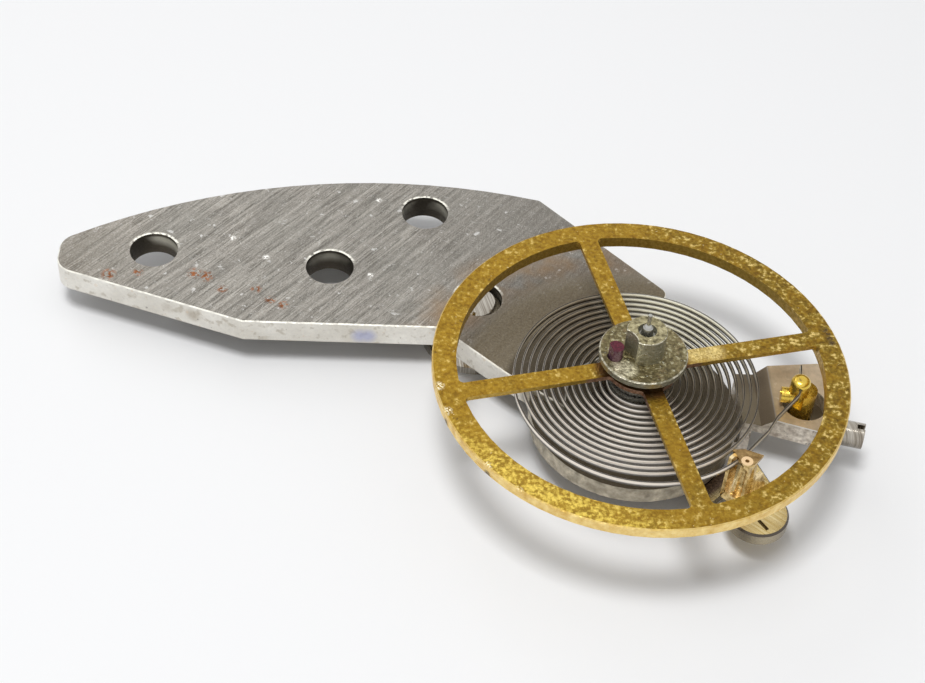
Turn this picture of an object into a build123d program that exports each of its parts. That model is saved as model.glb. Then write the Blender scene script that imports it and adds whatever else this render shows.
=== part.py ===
from build123d import *
import math
import os

# Balance assembly of a mechanical watch, lying with its movement side up.
# The Z axis is the balance axis. Z = 0 is the cock's seating face, the one that faces the movement.
# X runs along the straight front edge of the cock, away from its foot. Lengths are in millimetres.

os.makedirs("parts", exist_ok=True)

# Shared values
overrun = 0.2
seat_gap = 0.005
turning_gap = 0.02
edge_break = 0.03

# Balance wheel
balance_radius = 5.0
rim_width = 0.58
rim_thickness = 0.30
rim_lift = 1.10
arm_count = 4
arm_width = 0.47
arm_thickness = 0.12
arm_angle = 13.4
arm_fillet = 0.12
hub_radius = 0.88

# Balance staff and rollers
wheel_seat_radius = 0.40
flange_radius = 0.70
flange_thickness = 0.28
collet_seat_radius = 0.28
collet_seat_length = 0.95
staff_radius = 0.20
pivot_radius = 0.05
pivot_length = 0.30
pivot_cone_length = 0.22
roller_seat_radius = 0.22
roller_lift = 0.25
roller_radius = 1.06
roller_thickness = 0.20
safety_radius = 0.48
safety_height = 0.70
safety_recess = 0.16
crescent_angle = 210.0
crescent_radius = 0.42
crescent_bite = 0.14
lower_cone_radius = 0.15
lower_shoulder_radius = 0.12
lower_shoulder_stand = 0.10
lower_cone_stand = 0.20
jewel_angle = 196.0
jewel_offset = 0.73
jewel_radius = 0.18
jewel_stand = 0.34
jewel_flat = 0.06

# Hairspring and collet
spring_thickness = 0.04
spring_height = 0.15
spring_lift = 0.70
spring_end_radius = 3.23
spring_end_growth = 0.25
spring_start_radius = 0.745
spring_end_angle = -41.0
spring_half_turns = 27
spring_run = 0.764
spring_kink_run = 0.498
spring_last_run = 0.845
spring_kink_radius = 0.30
spring_kink_angle = 10.0
spring_bend_radius = 0.50
spring_bend_angle = 32.0
spring_tail = 0.80
collet_thickness = 0.40
collet_lift = 0.57
collet_slit = 0.08
collet_pin_radius = 0.05
collet_pin_length = 0.80
collet_pin_offset = 0.55

# Cock
cock_thickness = 0.65
lobe_inset = 0.68
lobe_sink = 0.20
recess_radius = 1.67
movement_radius = 15.35
movement_centre_reach = 5.93
movement_centre_side = 7.50
foot_reach = 14.58
foot_low_side = 4.12
foot_round = 0.55
front_side = 2.39
front_corner_reach = 9.69
neck_corner_reach = 4.72
neck_outer_angle = -43.0
neck_outer_length = 2.215
neck_inner_angle = -37.2
neck_inner_length = 2.95
neck_round = 0.25
shoulder_reach = 1.17
shoulder_side = 3.93
shoulder_round = 0.25
back_corner_reach = 2.00
back_corner_round = 0.15
foot_hole_radius = 0.62
foot_hole_inset = 2.43
foot_hole_side = 4.87
foot_hole_2 = (-7.58, 4.45)
foot_hole_3 = (-5.12, 6.66)
eccentric_hole = (-3.75, 3.45)

# Regulating eccentric
eccentric_shank_radius = 0.59
eccentric_shank_depth = 0.06
eccentric_shank_bevel = 0.15
eccentric_throw = 0.15
eccentric_radius = 0.42
eccentric_head_radius = 1.42
eccentric_head_bevel = 0.14
eccentric_head_thickness = 0.50
eccentric_slot_width = 0.30
eccentric_slot_depth = 0.20

# Shock setting
setting_hub_radius = 1.10
setting_neck_radius = 1.20
setting_flange_radius = 1.45
setting_flange_thickness = 0.16
staff_passage_radius = 0.30
chaton_pocket_radius = 0.60
chaton_pocket_face = 0.50
chaton_length = 0.60
chaton_lip = 0.09
chaton_mouth_radius = 0.20
hole_jewel_radius = 0.34
hole_jewel_thickness = 0.18
pivot_hole_gap = 0.015
cap_jewel_radius = 0.47
cap_jewel_thickness = 0.25
endshake = 0.01
lyre_pocket_radius = 0.90
lyre_outer_radius = 0.85
lyre_width = 0.16
lyre_thickness = 0.07
lyre_prong_width = 0.14
lyre_prong_reach = 0.22
lyre_mouth = 0.50

# Stud holder and regulator rings
ring_outer_radius = 1.75
ring_thickness = 0.25
ring_gap = 0.03

# Stud holder
riser_gap = 0.13
block_base = -0.48
block_height = 0.58
block_clear = 0.20
block_length = 1.52
ramp_run = 0.31
holder_upper_side = 1.30
holder_lower_side = 0.20
holder_lower_mid_side = 0.36
holder_lower_outer_side = 1.00
holder_upper_outer_side = 1.45
holder_root = 1.25
stud_hole_gap = 0.25
stud_hole_shift = 0.23
stud_hole_depth = 0.40

# Stud, its pin and its screw
stud_radius = 0.30
stud_shift = 0.16
stud_place_share = 0.26
stud_slot = 0.09
stud_neck_radius = 0.24
stud_shoulder_drop = 0.10
stud_dome_rise = 0.14
stud_dome_round = 0.14
stud_front_step = 0.06
stud_front_reach = 0.26
stud_front_radius = 0.13
stud_boss_radius = 0.20
stud_boss_reach = 0.40
stud_boss_drop = 0.34
stud_pin_thin = 0.05
stud_pin_thick = 0.065
stud_pin_length = 0.62
stud_pin_inner = 0.43
stud_pin_angle = 172.0
stud_pin_drop = 0.27
stud_screw_angle = -14.0
stud_screw_side = 0.17
stud_screw_drop = 0.38
stud_screw_radius = 0.13
stud_screw_head_radius = 0.32
stud_screw_head_length = 0.60
stud_screw_head_gap = 0.12
stud_screw_slot = 0.14
stud_screw_slot_depth = 0.20

# Regulator
regulator_arm_angle = -46.0
regulator_arm_width = 1.10
regulator_arm_reach = 3.00
pad_reach = 2.78
pad_near_reach = 2.62
pad_near_side = 1.46
pad_far_side = 2.86
pad_near_radius = 0.36
pad_far_radius = 0.74
pad_lift = 0.11
pad_thickness = 0.32
pad_bevel = 0.05
pad_clear = 0.10
pad_slit_reach = 2.80
pad_slit_side = 3.20
pad_slit_angle = -57.0
pad_slit_length = 0.50
pad_slit_width = 0.09
pad_slit_depth = 0.16
tail_width = 1.46
fork_gap = 0.025
fork_reach = 0.52

# Regulator boot
boot_angle = -46.0
boot_offset = 0.11
boot_stem_radius = 0.16
boot_foot_width = 0.62
boot_foot_length = 0.74
boot_foot_height = 0.22
boot_foot_inset = 0.03
boot_foot_shift = 0.05
boot_foot_taper = 8.0
boot_cross_width = 0.80
boot_cross_taper = 20.0
boot_tab_length = 0.50
boot_tab_place = 0.50
boot_tab_width = 0.26
boot_tab_height = 0.42
boot_tab_taper = 10.0
boot_blade_place = 0.245
boot_blade_shift = 0.12
boot_blade_thickness = 0.09
boot_blade_length = 0.32
boot_blade_stand = 0.03
boot_post_offset = 0.12
boot_post_width = 0.40
boot_post_length = 0.46
boot_post_taper = 4.0
boot_flute_radius = 0.10
boot_flute_height = 0.95
boot_cover_inner = (-0.34, -0.09)
boot_cover_back = (-0.16, 0.12)
boot_cover_tip = (0.26, 0.31)
boot_cover_outer = (0.30, -0.08)
boot_cover_front = (0.15, -0.30)
boot_cover_gap = 0.03
boot_cover_thickness = 0.08
boot_knob_radius = 0.14
boot_knob_offset = 0.13
boot_knob_shift = 0.16
boot_knob_rise = 0.05
boot_knob_hole = 0.05


def polar(radius, angle):
    """Point at a radius and an angle in degrees from the balance axis."""
    return Vector(radius * math.cos(math.radians(angle)), radius * math.sin(math.radians(angle)))


# Heights that several pieces share
arm_top = rim_lift + rim_thickness
arm_base = arm_top - arm_thickness
roller_base = arm_top + roller_lift
roller_top = roller_base + roller_thickness
safety_top = roller_top + safety_height
cock_outer = -cock_thickness
lobe_radius = spring_end_radius - lobe_inset
regulator_ring_base = cock_outer - ring_gap - ring_thickness
holder_ring_base = regulator_ring_base - ring_gap - ring_thickness
flange_top = holder_ring_base - ring_gap
setting_base = flange_top - setting_flange_thickness
chaton_top = -chaton_pocket_face - seat_gap
chaton_base = chaton_top - chaton_length
hole_jewel_top = chaton_top - chaton_lip
hole_jewel_base = hole_jewel_top - hole_jewel_thickness
cap_jewel_base = chaton_base
cap_jewel_top = cap_jewel_base + cap_jewel_thickness
lyre_top = chaton_base - seat_gap
ring_bore_radius = setting_neck_radius + ring_gap

# Cock: a flat plate on the movement's edge, with a thinner round lobe under the hairspring
front_corner = (-front_corner_reach, front_side)
neck_corner = (-neck_corner_reach, front_side)
neck_middle = Vector(*neck_corner) + polar(neck_outer_length, neck_outer_angle)
neck_inner = neck_middle + polar(neck_inner_length, neck_inner_angle)
shoulder = (shoulder_reach, shoulder_side)


def movement_edge(reach):
    """Point of the movement's edge at a distance back along X."""
    along = reach - movement_centre_reach
    return (-reach, -movement_centre_side + math.sqrt(movement_radius**2 - along**2))


foot_low = (-foot_reach, foot_low_side)
foot_high = movement_edge(foot_reach)
foot_hole_1 = (foot_hole_inset - foot_reach, foot_hole_side)
back_corner = movement_edge(back_corner_reach)
back_middle = movement_edge((foot_reach + back_corner_reach) / 2)

with BuildPart() as balance_cock:
    with BuildSketch(Plane.XY.offset(cock_outer)) as plate_plan:
        with BuildLine():
            Polyline(
                foot_high,
                foot_low,
                front_corner,
                neck_corner,
                (neck_middle.X, neck_middle.Y),
                (neck_inner.X, neck_inner.Y),
                (0, 0),
                shoulder,
                back_corner,
            )
            ThreePointArc(back_corner, back_middle, foot_high)
        make_face()
        fillet(plate_plan.vertices().sort_by(Axis.X)[:2], foot_round)
        fillet(plate_plan.vertices().sort_by_distance(Vector(*neck_corner, cock_outer))[0], neck_round)
        fillet(plate_plan.vertices().sort_by_distance(Vector(*shoulder, cock_outer))[0], shoulder_round)
        fillet(plate_plan.vertices().sort_by_distance(Vector(*back_corner, cock_outer))[0], back_corner_round)
        Circle(recess_radius, mode=Mode.SUBTRACT)
    extrude(amount=cock_thickness)
    with BuildSketch(Plane.XY.offset(cock_outer)):
        Circle(lobe_radius)
    extrude(amount=cock_thickness - lobe_sink)
    with BuildSketch(Plane.XY.offset(cock_outer)):
        Circle(setting_hub_radius + seat_gap)
        with Locations(foot_hole_1, foot_hole_2, foot_hole_3, eccentric_hole):
            Circle(foot_hole_radius)
    extrude(amount=cock_thickness, mode=Mode.SUBTRACT)
    chamfer(balance_cock.faces().sort_by(Axis.Z)[-1].outer_wire().edges(), edge_break)
balance_cock.part.label = "balance_cock"
export_step(balance_cock.part, "parts/balance_cock.step")

# Regulating eccentric: its shank turns in the fourth hole, its disc in the regulator's fork
eccentric_arm = Vector(*eccentric_hole)
eccentric_angle = math.degrees(math.atan2(eccentric_arm.Y, eccentric_arm.X))
eccentric_place = eccentric_arm + polar(eccentric_throw, eccentric_angle)
eccentric_head_top = regulator_ring_base - ring_gap
eccentric_head_base = eccentric_head_top - eccentric_head_thickness
with BuildPart() as regulating_eccentric:
    with BuildSketch(Plane.XY.offset(eccentric_head_base)):
        with Locations(eccentric_arm):
            Circle(eccentric_head_radius)
    extrude(amount=eccentric_head_thickness)
    chamfer(regulating_eccentric.edges().filter_by(GeomType.CIRCLE), eccentric_head_bevel)
    with BuildSketch(Plane.XY.offset(eccentric_head_top)):
        with Locations(eccentric_place):
            Circle(eccentric_radius)
    extrude(amount=cock_outer - eccentric_head_top)
    with BuildSketch(Plane.XY.offset(cock_outer)):
        with Locations(eccentric_arm):
            Circle(eccentric_shank_radius)
    extrude(amount=cock_thickness - eccentric_shank_depth)
    chamfer(regulating_eccentric.edges().sort_by(Axis.Z)[-1], eccentric_shank_bevel)
    with BuildSketch(Plane.XY.offset(eccentric_head_base)):
        with Locations(Location(eccentric_arm, eccentric_angle)):
            Rectangle(eccentric_head_radius * 2, eccentric_slot_width)
    extrude(amount=eccentric_slot_depth, mode=Mode.SUBTRACT)
regulating_eccentric.part.label = "regulating_eccentric"
export_step(regulating_eccentric.part, "parts/regulating_eccentric.step")

# Shock setting: pressed into the lobe, its neck carries both rings and its flange keeps them on
with BuildPart() as shock_setting:
    with BuildSketch(Plane.XZ):
        with BuildLine():
            Polyline(
                (staff_passage_radius, -lobe_sink),
                (setting_hub_radius, -lobe_sink),
                (setting_hub_radius, cock_outer),
                (setting_neck_radius, cock_outer),
                (setting_neck_radius, flange_top),
                (setting_flange_radius, flange_top),
                (setting_flange_radius, setting_base),
                (lyre_pocket_radius, setting_base),
                (lyre_pocket_radius, chaton_base),
                (chaton_pocket_radius, chaton_base),
                (chaton_pocket_radius, -chaton_pocket_face),
                (staff_passage_radius, -chaton_pocket_face),
                close=True,
            )
        make_face()
    revolve(axis=Axis.Z)
shock_setting.part.label = "shock_setting"
export_step(shock_setting.part, "parts/shock_setting.step")

# Chaton: the cup that holds both jewels
chaton_radius = chaton_pocket_radius - seat_gap
with BuildPart() as chaton:
    with BuildSketch(Plane.XZ):
        with BuildLine():
            Polyline(
                (chaton_mouth_radius, chaton_top),
                (chaton_radius, chaton_top),
                (chaton_radius, chaton_base),
                (cap_jewel_radius + seat_gap, chaton_base),
                (cap_jewel_radius + seat_gap, cap_jewel_top),
                (hole_jewel_radius + seat_gap, cap_jewel_top),
                (hole_jewel_radius + seat_gap, hole_jewel_top),
                (chaton_mouth_radius, hole_jewel_top),
                close=True,
            )
        make_face()
    revolve(axis=Axis.Z)
chaton.part.label = "chaton"
export_step(chaton.part, "parts/chaton.step")

with BuildPart() as hole_jewel:
    with BuildSketch(Plane.XY.offset(hole_jewel_base)):
        Circle(hole_jewel_radius)
        Circle(pivot_radius + pivot_hole_gap, mode=Mode.SUBTRACT)
    extrude(amount=hole_jewel_thickness - seat_gap)
hole_jewel.part.label = "hole_jewel"
export_step(hole_jewel.part, "parts/hole_jewel.step")

with BuildPart() as cap_jewel:
    with BuildSketch(Plane.XY.offset(cap_jewel_base)):
        Circle(cap_jewel_radius)
    extrude(amount=cap_jewel_thickness - seat_gap)
    chamfer(cap_jewel.edges().sort_by(Axis.Z)[0], edge_break)
cap_jewel.part.label = "cap_jewel"
export_step(cap_jewel.part, "parts/cap_jewel.step")

# Lyre spring: an open ring with two prongs that press on the cap jewel
with BuildPart() as lyre_spring:
    with BuildSketch(Plane.XY.offset(lyre_top - lyre_thickness)):
        Circle(lyre_outer_radius)
        Circle(lyre_outer_radius - lyre_width, mode=Mode.SUBTRACT)
        with PolarLocations(lyre_outer_radius - lyre_width / 2, 1, start_angle=90):
            Rectangle(lyre_width * 2, lyre_mouth, mode=Mode.SUBTRACT)
        with PolarLocations(0, 2, start_angle=0):
            with Locations((lyre_prong_reach, 0)):
                Rectangle(
                    lyre_outer_radius - lyre_width / 2 - lyre_prong_reach,
                    lyre_prong_width,
                    align=(Align.MIN, Align.CENTER),
                )
    extrude(amount=lyre_thickness)
lyre_spring.part.label = "lyre_spring"
export_step(lyre_spring.part, "parts/lyre_spring.step")

# Balance wheel: smooth rim, thin arms level with the rim's top, and hub
with BuildPart() as balance_wheel:
    with BuildSketch(Plane.XY.offset(arm_base)) as wheel_plan:
        Circle(balance_radius)
        Circle(balance_radius - rim_width, mode=Mode.SUBTRACT)
        with PolarLocations(0, arm_count, start_angle=arm_angle):
            Rectangle(balance_radius - rim_width / 2, arm_width, align=(Align.MIN, Align.CENTER))
        Circle(hub_radius)
        arm_corners = wheel_plan.vertices().filter_by(
            lambda corner: Vector(*corner).length < balance_radius - rim_width / 2
        )
        fillet(arm_corners, arm_fillet)
        Circle(wheel_seat_radius + seat_gap, mode=Mode.SUBTRACT)
    extrude(amount=arm_thickness)
    with BuildSketch(Plane.XY.offset(rim_lift)):
        Circle(balance_radius)
        Circle(balance_radius - rim_width, mode=Mode.SUBTRACT)
    extrude(amount=rim_thickness)
    rim_edges = balance_wheel.edges().filter_by(GeomType.CIRCLE).filter_by(
        lambda edge: abs(edge.radius - balance_radius) < edge_break
    )
    chamfer(rim_edges, edge_break)
balance_wheel.part.label = "balance_wheel"
export_step(balance_wheel.part, "parts/balance_wheel.step")

# Balance staff: turned from one rod, with a pivot at each end
upper_tip = cap_jewel_top + endshake
upper_cone = hole_jewel_top + seat_gap
flange_base = arm_base - flange_thickness
collet_seat_base = flange_base - collet_seat_length
lower_cone_top = safety_top + lower_cone_stand
with BuildPart() as balance_staff:
    with BuildSketch(Plane.XZ):
        with BuildLine():
            Polyline(
                (0, upper_tip),
                (pivot_radius, upper_tip),
                (pivot_radius, upper_cone),
                (staff_radius, upper_cone + pivot_cone_length),
                (staff_radius, collet_seat_base),
                (collet_seat_radius, collet_seat_base),
                (collet_seat_radius, flange_base),
                (flange_radius, flange_base),
                (flange_radius, arm_base),
                (wheel_seat_radius, arm_base),
                (wheel_seat_radius, arm_top),
                (roller_seat_radius, arm_top),
                (roller_seat_radius, safety_top - safety_recess),
                (lower_cone_radius, safety_top - safety_recess),
                (lower_shoulder_radius, safety_top + lower_shoulder_stand),
                (pivot_radius, lower_cone_top),
                (pivot_radius, lower_cone_top + pivot_length),
                (0, lower_cone_top + pivot_length),
                close=True,
            )
        make_face()
    revolve(axis=Axis.Z)
balance_staff.part.label = "balance_staff"
export_step(balance_staff.part, "parts/balance_staff.step")

# Impulse roller and its jewel
jewel_place = polar(jewel_offset, jewel_angle)
with BuildPart() as impulse_roller:
    with BuildSketch(Plane.XY.offset(roller_base)):
        Circle(roller_radius)
        Circle(roller_seat_radius + seat_gap, mode=Mode.SUBTRACT)
        with Locations(jewel_place):
            Circle(jewel_radius + seat_gap, mode=Mode.SUBTRACT)
    extrude(amount=roller_thickness)
    roller_edges = impulse_roller.edges().filter_by(GeomType.CIRCLE).filter_by(
        lambda edge: abs(edge.radius - roller_radius) < edge_break
    )
    chamfer(roller_edges, edge_break)
impulse_roller.part.label = "impulse_roller"
export_step(impulse_roller.part, "parts/impulse_roller.step")

with BuildPart() as impulse_jewel:
    with BuildSketch(Plane.XY.offset(roller_base)):
        with Locations(jewel_place):
            Circle(jewel_radius)
        with Locations(Location(polar(jewel_offset + jewel_radius, jewel_angle), jewel_angle)):
            Rectangle(jewel_flat * 2, jewel_radius * 2, mode=Mode.SUBTRACT)
    extrude(amount=roller_thickness + jewel_stand)
impulse_jewel.part.label = "impulse_jewel"
export_step(impulse_jewel.part, "parts/impulse_jewel.step")

# Safety roller: small cylinder with a wide hollow on the jewel's side, through its full height
with BuildPart() as safety_roller:
    with BuildSketch(Plane.XY.offset(roller_top)):
        Circle(safety_radius)
        Circle(roller_seat_radius + seat_gap, mode=Mode.SUBTRACT)
        with Locations(polar(safety_radius - crescent_bite + crescent_radius, crescent_angle)):
            Circle(crescent_radius, mode=Mode.SUBTRACT)
    extrude(amount=safety_height)
    chamfer(safety_roller.faces().sort_by(Axis.Z)[-1].outer_wire().edges(), edge_break / 2)
safety_roller.part.label = "safety_roller"
export_step(safety_roller.part, "parts/safety_roller.step")

# Collet: split ring on the staff, which holds the inner end of the hairspring with a pin
collet_radius = spring_start_radius - spring_thickness / 2 - seat_gap
collet_pin_place = polar(collet_pin_offset, spring_end_angle + 180)
collet_pin_height = collet_lift + collet_thickness / 2
collet_pin_plane = Plane(
    origin=(collet_pin_place.X, collet_pin_place.Y, collet_pin_height),
    z_dir=polar(1, spring_end_angle + 90),
)
with BuildPart() as collet:
    with BuildSketch(Plane.XY.offset(collet_lift)):
        Circle(collet_radius)
        Circle(collet_seat_radius + seat_gap, mode=Mode.SUBTRACT)
        with PolarLocations(0, 1, start_angle=spring_end_angle):
            Rectangle(collet_radius + overrun, collet_slit, align=(Align.MIN, Align.CENTER), mode=Mode.SUBTRACT)
    extrude(amount=collet_thickness)
    with BuildSketch(collet_pin_plane):
        Circle(collet_pin_radius + seat_gap)
    extrude(amount=collet_radius, both=True, mode=Mode.SUBTRACT)
collet.part.label = "collet"
export_step(collet.part, "parts/collet.step")

with BuildPart() as collet_pin:
    with BuildSketch(collet_pin_plane):
        Circle(collet_pin_radius)
    extrude(amount=collet_pin_length / 2, both=True)
collet_pin.part.label = "collet_pin"
export_step(collet_pin.part, "parts/collet_pin.step")

# Hairspring: half turns that meet on one line through the axis, so each runs into the next without a corner.
# The last half turn grows by its own step, which opens the room for the regulator boot.
plain_halves = spring_half_turns - 1
spring_pitch = (spring_end_radius - spring_end_growth - spring_start_radius) / plain_halves * 2
spring_middle = spring_lift + spring_height / 2
spring_line_angle = spring_end_angle + 180


def spring_crossing(index):
    """Distance from the axis at which the spring crosses the line, counted from the collet."""
    return spring_start_radius + spring_pitch / 2 * index if index <= plain_halves else spring_end_radius


def spring_half_turn(index):
    """Centre, radius and first angle of a half turn, counted from the collet."""
    begin = spring_line_angle + 180 * (index % 2)
    growth = spring_crossing(index + 1) - spring_crossing(index)
    return polar(growth / 2, begin + 180), spring_crossing(index) + growth / 2, begin


with BuildPart() as hairspring:
    with BuildLine(Plane.XY.offset(spring_middle)) as spring_path:
        for index in range(spring_half_turns):
            centre, radius, begin = spring_half_turn(index)
            ThreePointArc(
                centre + polar(radius, begin), centre + polar(radius, begin + 90), centre + polar(radius, begin + 180)
            )
        spring_leave = polar(spring_end_radius, spring_end_angle)
        first_run = Line(spring_leave, spring_leave + polar(spring_run, spring_end_angle + 90))
        outward_kink = JernArc(first_run @ 1, first_run % 1, spring_kink_radius, spring_kink_angle)
        second_run = Line(outward_kink @ 1, (outward_kink @ 1) + (outward_kink % 1) * spring_kink_run)
        return_kink = JernArc(second_run @ 1, second_run % 1, spring_kink_radius, -spring_kink_angle)
        third_run = Line(return_kink @ 1, (return_kink @ 1) + (return_kink % 1) * spring_last_run)
        spring_bend = JernArc(third_run @ 1, third_run % 1, spring_bend_radius, spring_bend_angle)
        spring_last = Line(spring_bend @ 1, (spring_bend @ 1) + (spring_bend % 1) * spring_tail)
    spring_start = polar(spring_start_radius, spring_line_angle)
    section = Plane(
        origin=(spring_start.X, spring_start.Y, spring_middle),
        x_dir=polar(1, spring_line_angle),
        z_dir=polar(1, spring_line_angle + 90),
    )
    with BuildSketch(section):
        Rectangle(spring_thickness, spring_height)
    sweep(path=spring_path.line)
hairspring.part.label = "hairspring"
export_step(hairspring.part, "parts/hairspring.step")

# Least gap between neighbouring turns, measured on points a few degrees apart
turn_points = []
for index in range(spring_half_turns):
    centre, radius, begin = spring_half_turn(index)
    for step in range(0, 180, 6):
        turn_points.append((index * 180 + step, centre + polar(radius, begin + step)))
least_gap = min(
    (there - here).length - spring_thickness
    for place, (angle, here) in enumerate(turn_points)
    for later, there in turn_points[place + 1:]
    if 270 <= later - angle <= 450
)
print("hairspring turns", spring_half_turns / 2, "pitch", round(spring_pitch, 4), "least gap", round(least_gap, 4))
spring_length = sum(edge.length for edge in spring_path.edges())
print("hairspring length", round(spring_length, 2), "volume", round(hairspring.part.volume, 5),
      "section times length", round(spring_thickness * spring_height * spring_length, 5))

# Stud: holds the outer end of the hairspring, its place on the straight tail
stud_centre = (spring_last @ 0) + ((spring_last @ 1) - (spring_last @ 0)) * stud_place_share
stud_place = (stud_centre.X, stud_centre.Y)
stud_body_place = (stud_place[0] + stud_shift, stud_place[1])
tail_direction = (spring_last % 0)
tail_angle = math.degrees(math.atan2(tail_direction.Y, tail_direction.X))

# Stud holder: ring, stepped arm and block
block_top = block_base + block_height
block_inner = spring_end_radius + block_clear
block_outer = block_inner + block_length
ramp_inner = block_inner - ramp_run
riser_inner = lobe_radius + riser_gap
riser_outer = riser_inner + ring_thickness
arm_upper = block_base + ring_thickness
stud_hole_place = (stud_place[0] + stud_hole_shift, stud_place[1])
screw_axis = polar(1, stud_screw_angle)
screw_height = -stud_screw_drop
screw_origin = (stud_place[0], stud_place[1] - stud_screw_side, screw_height)
screw_plane = Plane(origin=screw_origin, x_dir=(0, 0, 1), z_dir=screw_axis)
with BuildPart() as stud_holder:
    with BuildSketch(Plane.XZ):
        with BuildLine():
            Polyline(
                (holder_root, holder_ring_base),
                (riser_outer, holder_ring_base),
                (riser_outer, block_base),
                (block_outer, block_base),
                (block_outer, block_top),
                (block_inner, block_top),
                (ramp_inner, arm_upper),
                (riser_inner, arm_upper),
                (riser_inner, holder_ring_base + ring_thickness),
                (holder_root, holder_ring_base + ring_thickness),
                close=True,
            )
        make_face()
    extrude(amount=holder_upper_outer_side + overrun, both=True)
    with BuildSketch(Plane.XY.offset(holder_ring_base)):
        with BuildLine():
            Polyline(
                (holder_root, -holder_lower_side),
                (riser_outer, -holder_lower_mid_side),
                (block_outer, -holder_lower_outer_side),
                (block_outer, holder_upper_outer_side),
                (block_inner, holder_upper_side),
                (holder_root, holder_upper_side),
                close=True,
            )
        make_face()
    extrude(amount=block_top - holder_ring_base, mode=Mode.INTERSECT)
    with BuildSketch(Plane.XY.offset(holder_ring_base)):
        Circle(ring_outer_radius)
    extrude(amount=ring_thickness)
    with BuildSketch(Plane.XY.offset(holder_ring_base)):
        Circle(ring_bore_radius)
    extrude(amount=ring_thickness, mode=Mode.SUBTRACT)
    with BuildSketch(Plane.XY.offset(block_top)):
        with Locations(stud_hole_place):
            Circle(stud_radius + stud_hole_gap)
    extrude(amount=-stud_hole_depth, mode=Mode.SUBTRACT)
    with BuildSketch(Plane.XY.offset(block_base)):
        with Locations(stud_body_place):
            Circle(stud_radius + seat_gap)
    extrude(amount=block_height, mode=Mode.SUBTRACT)
    with BuildSketch(screw_plane):
        Circle(stud_screw_radius + seat_gap)
    extrude(amount=block_outer, mode=Mode.SUBTRACT)
stud_holder.part.label = "stud_holder"
export_step(stud_holder.part, "parts/stud_holder.step")

stud_top = spring_lift + spring_height + stud_dome_rise
stud_shoulder = spring_lift - stud_shoulder_drop
stud_front = Vector(*stud_place) - tail_direction * stud_front_reach
stud_boss_plane = Plane(
    origin=(stud_place[0], stud_place[1], spring_lift - stud_boss_drop),
    z_dir=polar(1, stud_pin_angle),
)
stud_pin_height = spring_lift - stud_pin_drop
stud_pin_away = polar(1, stud_pin_angle)
stud_pin_plane = Plane(
    origin=(
        stud_place[0] + stud_pin_away.X * stud_pin_inner,
        stud_place[1] + stud_pin_away.Y * stud_pin_inner,
        stud_pin_height,
    ),
    z_dir=polar(1, stud_pin_angle + 180),
)
with BuildPart() as hairspring_stud:
    with BuildSketch(Plane.XY.offset(block_base)):
        with Locations(stud_body_place):
            Circle(stud_radius)
    extrude(amount=stud_shoulder - block_base)
    with BuildSketch(Plane.XY.offset(stud_shoulder)):
        with Locations(stud_place):
            Circle(stud_neck_radius)
    extrude(amount=stud_top - stud_shoulder)
    fillet(hairspring_stud.edges().sort_by(Axis.Z)[-1], stud_dome_round)
    with BuildSketch(stud_boss_plane):
        Circle(stud_boss_radius)
    extrude(amount=stud_boss_reach)
    with BuildSketch(Plane.XY.offset(spring_lift - seat_gap)):
        with Locations(Location((*stud_place, 0), tail_angle)):
            Rectangle(stud_radius * 3, stud_slot)
    extrude(amount=spring_height + seat_gap * 2, mode=Mode.SUBTRACT)
    with BuildSketch(stud_pin_plane):
        Circle(stud_pin_thick + seat_gap)
    extrude(amount=stud_pin_length + overrun, mode=Mode.SUBTRACT)
    with BuildSketch(Plane.XY.offset(block_top + stud_front_step)):
        with Locations((stud_front.X, stud_front.Y)):
            Circle(stud_front_radius)
    extrude(amount=spring_lift - block_top - stud_front_step, mode=Mode.SUBTRACT)
hairspring_stud.part.label = "hairspring_stud"
export_step(hairspring_stud.part, "parts/hairspring_stud.step")

with BuildPart() as stud_pin:
    with BuildSketch(stud_pin_plane):
        Circle(stud_pin_thin)
    with BuildSketch(stud_pin_plane.offset(stud_pin_length)):
        Circle(stud_pin_thick)
    loft()
stud_pin.part.label = "stud_pin"
export_step(stud_pin.part, "parts/stud_pin.step")

# Stud screw: its tip bears on the stud, its head stands past the block and the rim
stud_from_screw = Vector(stud_shift, stud_screw_side)
stud_along = stud_from_screw.dot(screw_axis)
stud_across = math.sqrt(stud_from_screw.length**2 - stud_along**2) - stud_screw_radius
tip_start = stud_along + math.sqrt(stud_radius**2 - max(stud_across, 0) ** 2)
head_start = (block_outer - stud_place[0]) / screw_axis.X + stud_screw_head_gap
with BuildPart() as stud_screw:
    with BuildSketch(screw_plane.offset(tip_start + turning_gap)):
        Circle(stud_screw_radius)
    extrude(amount=head_start - tip_start)
    with BuildSketch(screw_plane.offset(head_start)):
        Circle(stud_screw_head_radius)
    extrude(amount=stud_screw_head_length)
    with BuildSketch(screw_plane.offset(head_start + stud_screw_head_length)):
        Rectangle(stud_screw_head_radius * 3, stud_screw_slot)
    extrude(amount=-stud_screw_slot_depth, mode=Mode.SUBTRACT)
stud_screw.part.label = "stud_screw"
export_step(stud_screw.part, "parts/stud_screw.step")

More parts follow.
